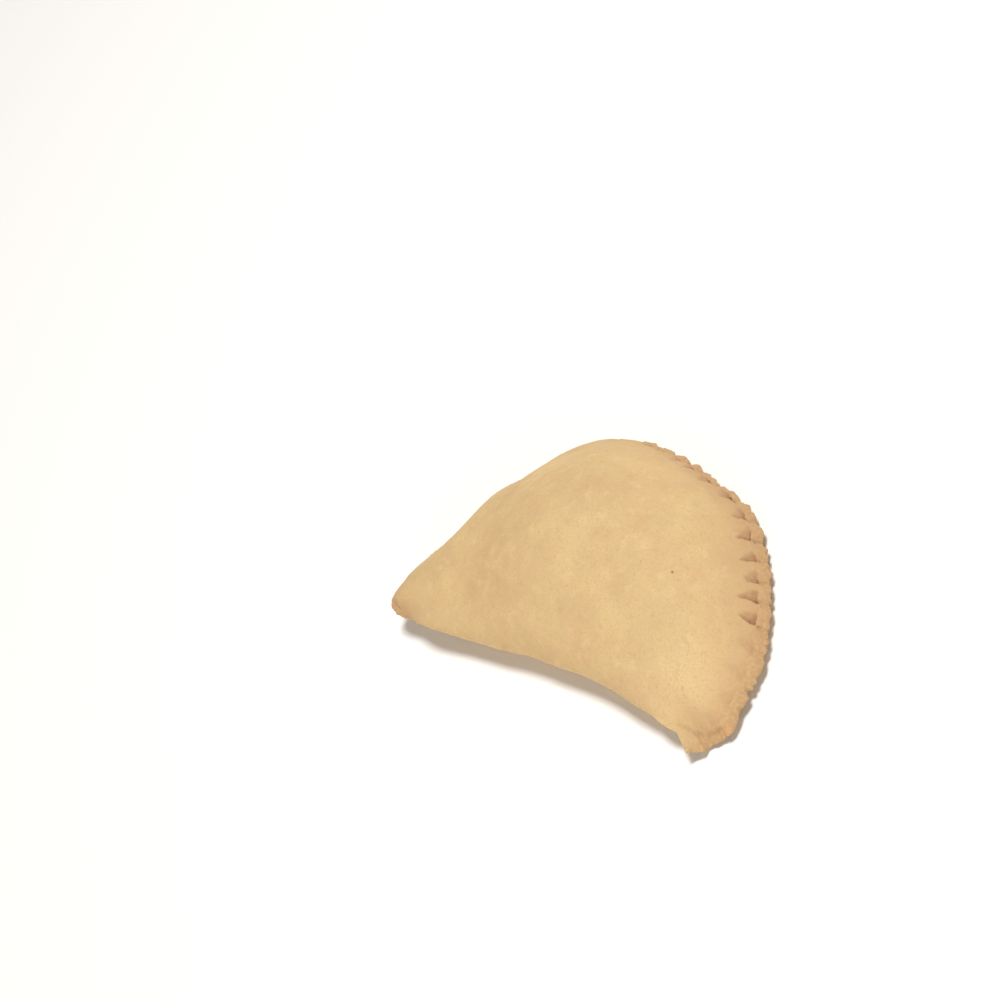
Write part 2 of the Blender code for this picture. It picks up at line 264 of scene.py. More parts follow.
def distances(x, y):
    """How far a point lies in from the fold and in from the rim, each 0 at that edge."""
    inset = RIM_WIDTH * math.cos(RIM_SLOPE)
    up = np.clip(y / (ARC_REACH - inset), 0.0, MOST_SHARE)
    # the same lean as in the outline, which has it as a power of the sine
    lean = ARC_LEAN * np.clip(up, 0.0, 1.0) ** (0.5 * ARC_POWER * LEAN_POWER)
    across = np.abs(x - lean) / (HALF_LENGTH - inset)
    from_rim = np.clip(1.0 - across ** ARC_POWER - up ** ARC_POWER, 0.0, 1.0)
    corner = np.clip(1.0 - across ** TIP_POWER, 0.0, 1.0) ** (1.0 / TIP_POWER)
    from_fold = np.clip((y - fold_line(x) * corner) / ARC_REACH, 0.0, MOST_SHARE)
    return from_fold, from_rim


mid_fold, mid_rim = distances(np.zeros(1), np.full(1, 0.5 * ARC_REACH))
print(f"in the middle: {mid_fold[0]:.2f} from the fold, {mid_rim[0]:.2f} from the rim")

# %% Product of the two distances
CROWN_HEIGHT = 21.8 * MM
FOLD_STEEPNESS = 0.60
SIDE_STEEPNESS = 0.92
SEARCHED_X = np.linspace(-0.3, 0.3, 61) * HALF_LENGTH
SEARCHED_Y = np.linspace(0.0, 0.9, 181) * ARC_REACH


def belly_product(x, y):
    from_fold, from_rim = distances(x, y)
    return from_fold ** FOLD_STEEPNESS * from_rim ** SIDE_STEEPNESS


highest = float(belly_product(*np.meshgrid(SEARCHED_X, SEARCHED_Y)).max())
print(f"the product peaks at {highest:.3f}, which becomes {CROWN_HEIGHT / MM:.1f} mm")

# %% Swellings
SWELLINGS_MM = {
    # name: middle x, middle y, radius, height
    "left tip": (-38.3, 2.5, 7.6, 1.1),
    "right tip": (38.0, 1.5, 8.0, 1.8),
    "left valley": (-24.0, 16.0, 9.0, -0.8),
    "shoulder dip": (-20.0, 35.6, 8.0, -1.3),
    "top bulge": (2.0, 36.0, 10.0, 1.2),
}


def swellings(x, y):
    rise = np.zeros_like(x)
    for middle_x, middle_y, radius, height in SWELLINGS_MM.values():
        away = np.hypot(x - middle_x * MM, y - middle_y * MM)
        rise += height * MM * np.exp(-(away / (radius * MM)) ** 2)
    return rise


print("swellings and dips:", ", ".join(SWELLINGS_MM))

# %% [markdown]
# ## Bent tips
# A pastry seldom lies quite straight. Both of its ends bend up from the table, the left one
# more, and the left tip also bends towards the fold. A modifier could bend them, but two
# short functions do it while the net is built, and leave the rest as it is.

# %% Bends of the tips
CURL_LEFT = 4.7 * MM
CURL_RIGHT = 0.3 * MM
CURL_START = 0.35
CURL_POWER = 1.7
MOST_CURL = 2.0
LEFT_DROOP = 1.9 * MM
DROOP_START = 0.54
DROOP_DEPTH = 10.0 * MM


def tip_curl(x):
    share = x / HALF_LENGTH
    left = np.clip((-share - CURL_START) / (1.0 - CURL_START), 0.0, MOST_CURL)
    right = np.clip((share - CURL_START) / (1.0 - CURL_START), 0.0, MOST_CURL)
    return CURL_LEFT * left ** CURL_POWER + CURL_RIGHT * right ** CURL_POWER


def left_droop(x, y):
    share = smooth_step(DROOP_START, 1.0, -x / HALF_LENGTH)
    return LEFT_DROOP * share * smooth_step(0.0, DROOP_DEPTH, y - fold_line(x))


print(f"the left tip is {CURL_LEFT / MM:.1f} mm up and {LEFT_DROOP / MM:.1f} mm over")

# %% [markdown]
# ## Slope of the rim
# The crimped rim is a band that slopes down outwards. It is steepest at the top of the arc
# and nearly follows the belly at the right tip. Where the rim ends, the blunt fold takes
# over, which is highest in its middle.

# %% Rim slope
RIM_SLOPE_LEFT = math.radians(37.8)
RIM_SLOPE_RIGHT = math.radians(38.0)
RIM_SLOPE_TIP = math.radians(28.0)
TIP_SLOPE_END = 0.35
TOP_SLOPE_START = 0.45
LEFT_SLOPE_END = 0.7

up_arc = np.sin(angle)
off_tip = smooth_step(0.0, TIP_SLOPE_END, up_arc)
slope = RIM_SLOPE_TIP + (RIM_SLOPE_RIGHT - RIM_SLOPE_TIP) * off_tip
slope = slope + (RIM_SLOPE - RIM_SLOPE_RIGHT) * smooth_step(TOP_SLOPE_START, 1.0, up_arc)
slope = slope + (RIM_SLOPE_LEFT - slope) * smooth_step(0.0, LEFT_SLOPE_END, -np.cos(angle))
print(f"the rim slopes by {np.degrees(slope.min()):.0f} to {np.degrees(slope.max()):.0f} degrees")

# %% Heights of the edge
RIM_LIFT = 1.5 * MM
LIP_HEIGHT = 2.0 * MM
FOLD_HEIGHT = 5.6 * MM
TIP_HEIGHT = 4.6 * MM
FOLD_END_POWER = 2.5

along_fold = np.clip(np.abs(edge_x) / HALF_LENGTH, 0.0, 1.0)
fold_height = TIP_HEIGHT + (FOLD_HEIGHT - TIP_HEIGHT) * (1.0 - along_fold ** FOLD_END_POWER)
lip_height = (RIM_LIFT + LIP_HEIGHT) * rim + fold_height * fold
foot_height = lip_height + RIM_WIDTH * np.sin(slope) * rim
print(f"the belly starts {foot_height.max() / MM:.1f} mm up at the top of the arc")

# %% [markdown]
# ## Underside
# Nobody sees the underside in use, but it is what the pastry rests on. It is flat in the
# middle, with four corners that touch the table, and rounds up towards both edges.

# %% The flat spot
FOOT_X, FOOT_Y = -2.0 * MM, 18.0 * MM
FOOT_HALF_X, FOOT_HALF_Y = 15.0 * MM, 12.0 * MM
FOOT_POWER = 0.9

turn = np.arctan2(edge_y - FOOT_Y, edge_x - FOOT_X)
corners = np.abs(np.cos(turn)) ** FOOT_POWER + np.abs(np.sin(turn)) ** FOOT_POWER
foot_reach = corners ** (-1.0 / FOOT_POWER)
foot_x = FOOT_X + FOOT_HALF_X * foot_reach * np.cos(turn)
foot_y = FOOT_Y + FOOT_HALF_Y * foot_reach * np.sin(turn)
print(f"the flat spot is {np.ptp(foot_x) / MM:.0f} x {np.ptp(foot_y) / MM:.0f} mm")

# %% Rings of the underside
UNDER_ROWS = 14
LAST_GAP = 1.2
FLAT_FROM = 0.62
UNDER_POWER = 2.5
BLEND_DEPTH = 0.5
FOOT_STEP = 0.15 * MM
NEVER_ZERO = 0.001

rings = [np.column_stack([foot_x, foot_y, np.zeros_like(walk)])]
for row in range(1, UNDER_ROWS + 1):
    out = row / (UNDER_ROWS + LAST_GAP)
    x = foot_x + (edge_x - foot_x) * out
    y = foot_y + (edge_y - foot_y) * out
    from_fold, from_rim = distances(x, y)
    lifted = 1.0 - np.clip(belly_product(x, y) / highest / FLAT_FROM, 0.0, 1.0)
    nearer_fold = from_rim / (from_rim + from_fold + NEVER_ZERO)
    inside = smooth_step(0.0, BLEND_DEPTH, 1.0 - out)
    at_fold = fold * (1.0 - inside) + nearer_fold * inside
    under_fold = fold_height * (1.0 - np.sqrt(1.0 - lifted ** UNDER_POWER))
    z = RIM_LIFT * lifted ** 2 * (1.0 - at_fold) + under_fold * at_fold
    rings.append(np.column_stack([x, y, np.maximum(z, FOOT_STEP) + tip_curl(x)]))
under_rings = len(rings)
print(f"{under_rings} rings underneath")

# %% [markdown]
# ## How a column runs in
# Each column starts on the outline and bends in towards a ridge that runs along the belly,
# so that the net stays even and doesn't pinch at one point. Near the right tip a small
# squared end of dough stands out from the fold: its left side is cut straight, its end
# slants, its right side is ragged, and it droops a little. It could be a piece of its own,
# but it is one with the dough, so here the columns simply start further out.

# %% The squared end
RIDGE_SHARE = 0.5
MIDDLE_X, MIDDLE_Y = -2.0 * MM, 9.0 * MM
TAB_X_MM = (29.5, 31.0, 33.0, 35.7, 36.2, 37.2, 38.4, 40.4, 41.2, 44.0, 45.6, 46.7)
TAB_REACH_MM = (0.0, 0.9, 1.8, 2.2, 5.6, 5.1, 4.6, 3.8, 2.3, 0.6, 0.0, 0.0)
TAB_DROOP_MM = (0.0, 0.0, 0.0, 0.3, 1.3, 1.2, 1.2, 1.1, 1.6, 1.0, 1.1, 0.3)
TAB_END_START, TAB_END = 0.8, 1.8

ridge_x = RIDGE_SHARE * edge_x
column_length = 2.0 * np.hypot(ridge_x - edge_x, MIDDLE_Y - edge_y)
tab_reach = np.interp(edge_x / MM, TAB_X_MM, TAB_REACH_MM) * MM * (edge_y < 0.0)
tab_droop = np.interp(edge_x / MM, TAB_X_MM, TAB_DROOP_MM) * MM * (edge_y < 0.0)
past_tab = smooth_step(TAB_END_START, TAB_END, crimp_place) * (crimp_place < CRIMPS)
tab_droop = tab_droop * (1.0 - past_tab)
outwards = tab_reach / column_length
tab = tab_reach / tab_reach.max()
print(f"the squared end stands out by {tab_reach.max() / MM:.1f} mm")

# %% Way of a column
def plan(share):
    """A column's point: share 0 is the outline, 1 the middle, turning at the ridge."""
    out = (1.0 - share) ** 2
    x = out * edge_x + 2.0 * share * (1.0 - share) * ridge_x + share ** 2 * MIDDLE_X
    return x, out * edge_y + (1.0 - out) * MIDDLE_Y


print(f"columns are {column_length.min() / MM:.0f} to {column_length.max() / MM:.0f} mm long")

# %% [markdown]
# ## Edge, rim and belly
# The edge gets eight rings of its own, because it is where the thin rim turns over from
# the underside to the top. From there one formula carries every ring across the band of
# the rim and up the belly, and fades into the rounder fold where the rim ends.

# %% Rings of the edge
EDGE_PROFILE_MM = (
    # inset, height above the rim's underside, share of the fold's height
    (0.45, 0.00, 0.78),
    (0.10, 0.12, 0.84),
    (0.00, 0.35, 0.90),
    (0.10, 0.62, 0.94),
    (0.28, 0.90, 0.97),
    (0.48, 1.15, 1.00),
    (0.70, 1.40, 1.03),
    (0.95, 1.65, 1.06),
)
FOLD_EDGE_SHARE = 0.96

for inset_mm, height_mm, fold_part in EDGE_PROFILE_MM:
    x, y = plan(inset_mm * MM * rim / column_length - outwards)
    z = (RIM_LIFT + height_mm * MM) * rim + fold_part * FOLD_EDGE_SHARE * fold_height * fold
    z = z - tab_droop
    rings.append(np.column_stack([x, y, z + tip_curl(x)]))
edge_rings = len(rings) - under_rings
top_row = under_rings + edge_rings
print(f"{edge_rings} rings on the edge")

# %% How far in a ring lies
BAND_ROWS = 20
BELLY_ROWS = 50
BELLY_CROWDING = 1.5
FOLD_CROWDING = 2.1
FIRST_GAP = 0.6
TOP_INSET = 1.2 * MM

last_row = BAND_ROWS + BELLY_ROWS
band_share = RIM_WIDTH * np.cos(slope) * rim / column_length


def ring_place(row):
    """A ring's share of each column, its share of the band and its share of the belly."""
    across_band = min(1.0, row / BAND_ROWS)
    on_belly = max(0.0, (row - BAND_ROWS) / BELLY_ROWS) ** BELLY_CROWDING
    over_fold = ((row + FIRST_GAP) / (last_row + FIRST_GAP)) ** FOLD_CROWDING
    up_belly = on_belly * rim + over_fold * fold
    share = band_share * across_band + up_belly * (1.0 - band_share)
    share = share + TOP_INSET * rim / column_length * (1.0 - across_band)
    share = share - outwards * (1.0 - across_band) ** 2
    return share, across_band, up_belly


print(f"the band is up to {100.0 * band_share.max():.0f} percent of a column")

# %% How high a ring lies
LEVEL_END = 0.6
SETTLED_END = 0.08
SWELLING_START = 0.35


def ring_height(x, y, across_band, up_belly):
    """Each point's height above the table, before the tips are bent up."""
    level = smooth_step(0.0, LEVEL_END, up_belly)
    base = (lip_height + (foot_height - lip_height) * across_band) * (1.0 - level)
    base = base + FOLD_HEIGHT * level
    settled = 1.0 - rim * (1.0 - smooth_step(0.0, SETTLED_END, up_belly))
    belly = np.where(up_belly > 0.0, belly_product(x, y) / highest, 0.0) * settled
    rise = swellings(x, y) * smooth_step(0.0, SWELLING_START, belly)
    z = base + (CROWN_HEIGHT - base) * np.clip(belly, 0.0, 1.0) + rise
    return z - tab_droop * (1.0 - across_band) ** 2


top_edge = ring_height(*plan(0.0), 0.0, np.zeros_like(walk))
print(f"the edge's top is {top_edge.min() / MM:.1f} to {top_edge.max() / MM:.1f} mm up")

# %% Rings of the rim and the belly
band_part = []
for row in range(last_row + 1):
    share, across_band, up_belly = ring_place(row)
    x, y = plan(share)
    z = ring_height(x, y, across_band, up_belly)
    rings.append(np.column_stack([x, y, z + tip_curl(x)]))
    band_part.append(across_band)
net = np.array(rings)
net[..., 1] -= left_droop(net[..., 0], net[..., 1])
rows = np.arange(len(net))
rows_up = rows - top_row
print(f"{len(net)} rings of {len(walk)} points")

# %% [markdown]
# ## An edge that wanders
# Dough cut and folded by hand doesn't follow a formula. Its edge wanders in and out by
# about a millimetre, over one or two crimps at a time. Random noise would do that
# anywhere, so a short list says where the edge wanders and how far.

# %% List the wanders
WANDERS = (
    # place along the edge in crimps, half width in crimps, mm outwards
    (1.9, 0.6, -0.4),
    (4.4, 0.9, -0.4),
    (6.0, 1.5, -0.9),
    (9.4, 1.2, 0.7),
    (8.0, 0.6, -0.3),
    (12.1, 0.8, -0.7),
    (13.6, 0.9, -0.9),
    (15.0, 0.8, -0.8),
    (16.3, 0.7, -0.5),
    (20.3, 0.6, -0.8),
    (21.8, 0.8, 0.8),
    (24.3, 1.1, -1.1),
    (26.4, 0.7, 0.8),
    (27.5, 0.7, 1.1),
    (29.8, 1.5, 1.1),
    (32.9, 1.5, 0.8),
    (36.0, 1.6, 1.0),
    (38.6, 1.4, 0.5),
    (40.4, 1.4, 1.7),
)

wander = np.zeros_like(walk)
for place, half_width, outwards_mm in WANDERS:
    wander += outwards_mm * MM * np.exp(-((crimp_place - place) / half_width) ** 2)
print(f"the edge wanders by {wander.min() / MM:.1f} to {wander.max() / MM:.1f} mm")

# %% Let the edge wander
WANDER_ROWS = 25

to_ridge = np.column_stack([ridge_x - edge_x, MIDDLE_Y - edge_y])
to_ridge = to_ridge / np.linalg.norm(to_ridge, axis=1, keepdims=True)
wander_share = np.clip(rows / under_rings, 0.0, 1.0) ** 2
wander_share = wander_share * (1.0 - smooth_step(BAND_ROWS, BAND_ROWS + WANDER_ROWS, rows_up))
net[..., :2] -= wander_share[:, None, None] * wander[None, :, None] * to_ridge[None, :, :]
print(f"{np.count_nonzero(wander_share > 0.0)} rings follow it")

# %% [markdown]
# ## No crease at the foot of the belly
# On the real pastry the belly runs into the rim without a crease. The two formulas meet at
# a slight angle, so the columns are evened out there: each point moves a little towards
# its neighbours along its column, again and again. The fold is rounded in the same way.

# %% Where to even out
EVEN_ROWS = 15
FIRST_EVENED = 3
BAND_EVENING = 0.5
FOLD_ROW = -2
FOLD_ROWS = 6
FOLD_EVENING = 0.3

near_foot = np.exp(-((rows_up - BAND_ROWS) / EVEN_ROWS) ** 2) * (rows_up > FIRST_EVENED)
evening = BAND_EVENING * near_foot[:, None] * rim[None, :]
near_fold = FOLD_EVENING * np.exp(-((rows_up - FOLD_ROW) / FOLD_ROWS) ** 2)
evening = evening + near_fold[:, None] * (fold * (1.0 - tab))[None, :]
print(f"evened most strongly at {evening.max():.2f}")

# %% Even out
EVEN_PASSES = 60

for _ in range(EVEN_PASSES):
    middles = net.copy()
    middles[1:-1] = 0.5 * (net[:-2] + net[2:])
    net = net + (middles - net) * evening[..., None]
print(f"evened {EVEN_PASSES} times round row {top_row + BAND_ROWS}")

# %% [markdown]
# ## Random relief
# Dough is uneven in many sizes, from broad waves down to sand. All of it comes from one
# noise function, read at each point's place in space, so that it doesn't follow the net.
# A table keeps the sizes together, each with a seed that gives it its own pattern.

# %% Helper for random relief
RELIEFS = {
    # name: size in mm, seed
    "broad waves": (16.0, 1),
    "waves": (6.0, 2),
    "grain": (1.6, 3),
    "crumbs": (1.5, 4),
    "small crumbs": (0.7, 5),
    "crease wander": (5.0, 6),
    "sand grains": (0.55, 7),
    "wobble": (1.4, 8),
    "sand": (0.9, 9),
    "fine wobble": (0.6, 10),
}
SEED_SHIFTS = (3.7, 7.1, 1.9)
FINE_WOBBLE = 0.6


def relief(name):
    """Soft random heights, about -1 to 1, one for each point of the net."""
    size_mm, seed = RELIEFS[name]
    aside = Vector([seed * shift for shift in SEED_SHIFTS])
    places = (net / (size_mm * MM)).reshape(-1, 3).tolist()
    heights = [noise.noise(Vector(place) + aside) for place in places]
    return np.array(heights).reshape(net.shape[:2])


wobble = relief("wobble") + FINE_WOBBLE * relief("fine wobble")
print(f"the wobble lies between {wobble.min():.2f} and {wobble.max():.2f}")

# %% [markdown]
# ## Pressing the crimps
# A dent starts a little in from the edge, so that a thin lip is left standing outside it.
# On the side towards the right tip it has a short steep wall; from there its floor rises
# slowly, and it narrows to a point towards the belly. Modelling one and arraying it would
# make them all alike, so the listed dents are pressed into the net by a function.

# %% Shape of a dent
WALL_WIDTH = 0.05
WORN_WALL = 0.30
WALL_WOBBLE = 0.08
OUTER_WALL = 0.8 * MM
TAPER = 0.85
FLOOR_POWER = 0.45
END_POWER = 0.5
SHADE_PLACE = 0.3
SHADE_WIDTH = 1.6
SHADE_POWER = 0.4


def dent_shape(place, depth_in, ragged):
    """How far the rim is pressed in, 0 to 1, and how strong the painted shade at the steep wall is,
    0 to 1.
    """
    pressed = np.zeros_like(place)
    wall_shade = np.zeros_like(place)
    for wall, strength, width, outer_end, inner_end, slant in dents:
        inwards = np.clip((depth_in - outer_end) / (inner_end - outer_end), 0.0, 1.0)
        aside = place - wall - slant * inwards + WALL_WOBBLE * ragged
        wall_width = WALL_WIDTH + WORN_WALL * (1.0 - strength)
        here_width = width * (1.0 - TAPER * inwards)
        over_wall = smooth_step(-wall_width, 0.0, aside)
        floor = np.clip(1.0 - np.maximum(aside, 0.0) / here_width, 0.0, 1.0) ** FLOOR_POWER
        from_lip = smooth_step(outer_end - OUTER_WALL, outer_end, depth_in)
        to_end = (1.0 - inwards) ** END_POWER * from_lip
        pressed = np.maximum(pressed, strength * to_end * over_wall * floor)
        # painted shade: a dark line in the crevice at each dent's steep wall
        near_crevice = np.exp(-((aside - SHADE_PLACE * wall_width) / (SHADE_WIDTH * WALL_WIDTH)) ** 2)
        shade_here = strength ** 2 * near_crevice * from_lip * (1.0 - inwards) ** SHADE_POWER
        wall_shade = np.maximum(wall_shade, shade_here)
    return pressed, wall_shade


strongest = max(dents, key=lambda dent: dent.strength)
tried, _ = dent_shape(np.full(4, strongest.wall), np.arange(1.0, 5.0) * MM, 0.0)
print("the strongest dent, every mm inwards:", tried.round(2).tolist())

# %% Press the dents in
DENT_DEPTH = 1.6 * MM
DEPTH_WOBBLE = 0.5 * MM

dented = np.zeros(net.shape[:2])
# the painted shade at the dents' steep walls, ring by ring
wall_shade_marks = np.zeros(net.shape[:2])
for row in range(BAND_ROWS + 1):
    ring = top_row + row
    ragged = wobble[ring]
    depth_in = RIM_WIDTH * band_part[row] + DEPTH_WOBBLE * ragged
    pressed, wall_shade = dent_shape(crimp_place, depth_in, ragged)
    dented[ring] = pressed * rim
    wall_shade_marks[ring] = wall_shade * rim
net[..., 2] -= DENT_DEPTH * dented
print(f"{np.count_nonzero(dented > 0.05)} points pressed in")

# %% [markdown]
# ## Teeth along the edge
# Pressing the dents also parts the edge outside them: it comes out as a row of low teeth,
# each a little rounded, with a narrow gap between one and the next. Dry dough also breaks
# away in small nicks, most of all where the rim is worn near the right tip.

# %% Where the gaps between the teeth are
LEAST_GAP = 0.25
END_GAP = 0.3
ROUNDNESS = 0.97
ROUND_PART, POINTED_PART = 0.7, 0.3

walls = [dent.wall for dent in dents]
walls = np.array([walls[-1] - CRIMPS] + walls + [walls[0] + CRIMPS])
depths = [LEAST_GAP + (1.0 - LEAST_GAP) * dent.strength for dent in dents]
depths = np.array([END_GAP] + depths + [END_GAP])
tooth = np.clip(np.searchsorted(walls, crimp_place) - 1, 0, len(walls) - 2)
along_tooth = (crimp_place - walls[tooth]) / (walls[tooth + 1] - walls[tooth])
along_tooth = np.clip(along_tooth, 0.0, 1.0)
tooth_depth = depths[tooth] + (depths[tooth + 1] - depths[tooth]) * along_tooth
from_middle = (2.0 * along_tooth - 1.0) ** 2
rounded = 1.0 - np.sqrt(1.0 - ROUNDNESS * from_middle)
gap = tooth_depth * (ROUND_PART * rounded + POINTED_PART * from_middle)
print(f"{len(walls) - 1} teeth, with gaps up to {gap.max():.2f} of the full depth")

# %% Where the edge is nicked
LONG_NICK, LONG_NICK_AT = 1.3 * MM, (0.5, 2.5)
SHORT_NICK, SHORT_NICK_AT = 0.6 * MM, (4.5, 7.5)
SHORT_NICK_SHARE = 0.5
FOLD_RAGGED = 0.45
WORN_PLACE, WORN_HALF = 2.6, 1.6
WORN_RAGGED = 1.2


def edge_nicks(length, noise_at):
    """Random nicks about as long as given. Where the noise is negative there is none."""
    heights = [noise.noise(Vector((along / length, *noise_at))) for along in walk.tolist()]
    return np.maximum(0.0, np.array(heights))


long_nicks = edge_nicks(LONG_NICK, LONG_NICK_AT)
short_nicks = edge_nicks(SHORT_NICK, SHORT_NICK_AT)
nicks = long_nicks + SHORT_NICK_SHARE * short_nicks
ragged_part = np.maximum(rim, FOLD_RAGGED + (1.0 - FOLD_RAGGED) * tab)
worn_end = np.exp(-((crimp_place - WORN_PLACE) / WORN_HALF) ** 2)
ragged_part = ragged_part * (1.0 + WORN_RAGGED * worn_end)
print(f"{100.0 * np.mean(nicks > 0.0):.0f} percent of the edge is nicked")

# %% Cut the teeth and the nicks
TOOTH_DEPTH = 0.95 * MM
TEETH_END = 0.38
GAP_DROP = 0.3 * MM
NICK_DEPTH = 0.9 * MM
NICK_RINGS = 9.0
NICK_POWER = 1.5

toothed = TOOTH_DEPTH * gap * rim
nicked = NICK_DEPTH * nicks * ragged_part
for ring in range(under_rings, top_row + BAND_ROWS + 1):
    edge_ring, row = ring - under_rings, ring - top_row
    inwards = band_part[row] / TEETH_END if row > 0 else 0.0
    share = max(0.0, 1.0 - inwards) ** 2
    at_edge = max(0.0, 1.0 - edge_ring / NICK_RINGS) ** NICK_POWER
    lowered = min(1.0, edge_ring / edge_rings)
    net[ring, :, :2] += (share * toothed + at_edge * nicked)[:, None] * to_ridge
    net[ring, :, 2] -= share * GAP_DROP * gap * rim * lowered
print(f"teeth {toothed.max() / MM:.2f} mm and nicks {nicked.max() / MM:.2f} mm deep")

# %% [markdown]
# ## Unevenness of dough
# Dough is never smooth. Broad soft waves cover the belly, crumbs and sand break up the rim
# and the fold, a few faint creases run over the belly, and two sharp ones cross the
# squared end. Moving each point along its own normal keeps the form under all of it.

# %% Normals of the net
SHORTEST = 1e-12


def net_normals(grid):
    along = np.roll(grid, -1, axis=1) - np.roll(grid, 1, axis=1)
    across = np.zeros_like(grid)
    across[1:-1] = grid[2:] - grid[:-2]
    across[0] = grid[1] - grid[0]
    across[-1] = grid[-1] - grid[-2]
    normals = np.cross(along, across)
    length = np.linalg.norm(normals, axis=2, keepdims=True)
    return normals / np.maximum(length, SHORTEST)


normals = net_normals(net)
print("the crown's normals point up:", bool(normals[-2, 0, 2] > 0.0))

# %% Where the dough is crumbly
CRUMBS_UNDER = 4
CRUMBS_FULL_TO, CRUMBS_END = -2, 5
FOLD_CRUMBS = 0.45
TOP_SIDE_BEFORE, TOP_SIDE_ROWS = 3, 4.0
SANDY_ROW, SANDY_ROWS = 3, 6.0

crumb_zone = smooth_step(under_rings - CRUMBS_UNDER, under_rings, rows)
crumb_zone = crumb_zone * (1.0 - smooth_step(CRUMBS_FULL_TO, CRUMBS_END, rows_up))
crumb_part = FOLD_CRUMBS + (1.0 - FOLD_CRUMBS) * np.maximum(rim, tab)
crumbly = crumb_zone[:, None] * crumb_part[None, :]
top_side = np.clip((rows - under_rings + TOP_SIDE_BEFORE) / TOP_SIDE_ROWS, 0.0, 1.0)
sandy = np.exp(-((rows_up - SANDY_ROW) / SANDY_ROWS) ** 2)[:, None] * rim[None, :]
print(f"crumbs on {np.count_nonzero(crumb_zone > 0.5)} rings")

# %% Creases
CREASES_MM = (
    # from x, y to x, y, half width, depth
    (-24.0, 10.0, -12.0, 20.0, 1.6, 0.22),
    (-33.0, 9.0, -27.0, 22.0, 2.0, 0.20),
    (-8.0, 38.0, 14.0, 39.5, 1.2, 0.18),
    (30.0, 4.0, 36.0, 9.0, 1.5, 0.15),
    (10.0, -1.0, 22.0, 1.5, 1.8, 0.14),
    (36.8, -6.3, 42.6, -5.8, 0.34, 0.46),
    (42.6, -5.8, 46.6, -2.8, 0.36, 0.34),
)


def crease_depth(x, y):
    """How deep the creases are at a point. Each one fades out towards its two ends."""
    depth = np.zeros_like(x)
    for start_x, start_y, end_x, end_y, half_width, deep in CREASES_MM:
        run_x, run_y = (end_x - start_x) * MM, (end_y - start_y) * MM
        from_x, from_y = x - start_x * MM, y - start_y * MM
        along = np.clip((from_x * run_x + from_y * run_y) / (run_x ** 2 + run_y ** 2), 0.0, 1.0)
        away = np.hypot(from_x - along * run_x, from_y - along * run_y)
        faded = np.sin(np.pi * along) ** 0.5
        depth += deep * MM * np.exp(-(away / (half_width * MM)) ** 2) * faded
    return depth


print(f"{len(CREASES_MM)} creases, up to {max(crease[-1] for crease in CREASES_MM)} mm deep")

# %% Heights of the relief
BROAD_WAVE_HEIGHT, WAVE_HEIGHT = 0.22 * MM, 0.09 * MM
GRAIN_HEIGHT = 0.025 * MM
CRUMB_HEIGHT, SMALL_CRUMB_HEIGHT = 0.16 * MM, 0.15 * MM
SAND_HEIGHT, SAND_GRAIN_HEIGHT = 0.05 * MM, 0.12 * MM
SAND_GRAINS_FROM = 0.2
CREASE_WANDER = 0.3 * MM

waves = BROAD_WAVE_HEIGHT * relief("broad waves") + WAVE_HEIGHT * relief("waves")
grain = GRAIN_HEIGHT * relief("grain")
crumbs = CRUMB_HEIGHT * relief("crumbs") + SMALL_CRUMB_HEIGHT * relief("small crumbs")
sand_grains = np.maximum(0.0, relief("sand grains") - SAND_GRAINS_FROM)
sand = SAND_HEIGHT * relief("sand") + SAND_GRAIN_HEIGHT * sand_grains
creases = crease_depth(net[..., 0], net[..., 1] + CREASE_WANDER * relief("crease wander"))
print(f"waves {np.ptp(waves) / MM:.2f} mm and crumbs {np.ptp(crumbs) / MM:.2f} mm from low to high")

# %% Move the points
CROWN_RINGS = 3
CROWN_CALM = 0.5

moved = (waves + grain - creases) * top_side[:, None] + crumbs * crumbly + sand * sandy
moved[-CROWN_RINGS:] *= CROWN_CALM
net = net + normals * moved[..., None]
print(f"points moved by up to {np.abs(moved).max() / MM:.2f} mm")

# %% [markdown]
# ## From net to mesh
# The points go into one mesh: a square face for each cell of the net, and a fan of
# triangles on the flat spot and on the crown. Before that they are moved so that the net
# lies midway in the part's own box from left to right, and level with the box at the back.

# %% Place the points in the part's box
ring_count = len(net)
points = np.vstack([net.reshape(-1, 3), [[FOOT_X, FOOT_Y, 0.0]], [net[-1].mean(axis=0)]])
foot_middle, crown_middle = len(points) - 2, len(points) - 1
mesh_low, mesh_high = points.min(axis=0), points.max(axis=0)
points[:, 0] += (cad_low[0] + cad_high[0] - mesh_low[0] - mesh_high[0]) / 2.0
points[:, 1] += cad_high[1] - mesh_high[1]
print("the net's size in mm:", [round(side / MM, 1) for side in (mesh_high - mesh_low).tolist()])

# %% Make the mesh
column = np.arange(column_count)
following = (column + 1) % column_count
faces = []
for ring in range(ring_count - 1):
    below, above = ring * column_count, (ring + 1) * column_count
    cells = [below + column, below + following, above + following, above + column]
    faces += np.column_stack(cells).tolist()
pairs = list(zip(column.tolist(), following.tolist()))
top_ring = (ring_count - 1) * column_count
faces += [(after, before, foot_middle) for before, after in pairs]
faces += [(top_ring + before, top_ring + after, crown_middle) for before, after in pairs]

skin_mesh = bpy.data.meshes.new("panzerotto skin")
skin_mesh.from_pydata(points.tolist(), [], faces)
skin_mesh.shade_smooth()
skin = bpy.data.objects.new("panzerotto_skin", skin_mesh)
bpy.context.scene.collection.objects.link(skin)
print(f"{len(points)} points, {2 * ring_count * column_count} triangles")

# %% [markdown]
# ## Marks for the colours
# The crimps, the rim and the toasted spots have colours of their own. In the crimps this colour is
# partly painted shade, and at the dents' steep walls it is painted shade alone. These marks could
# be painted on an image, but their places are known here already, so each is stored on the mesh as
# a named value per point, which the material reads.

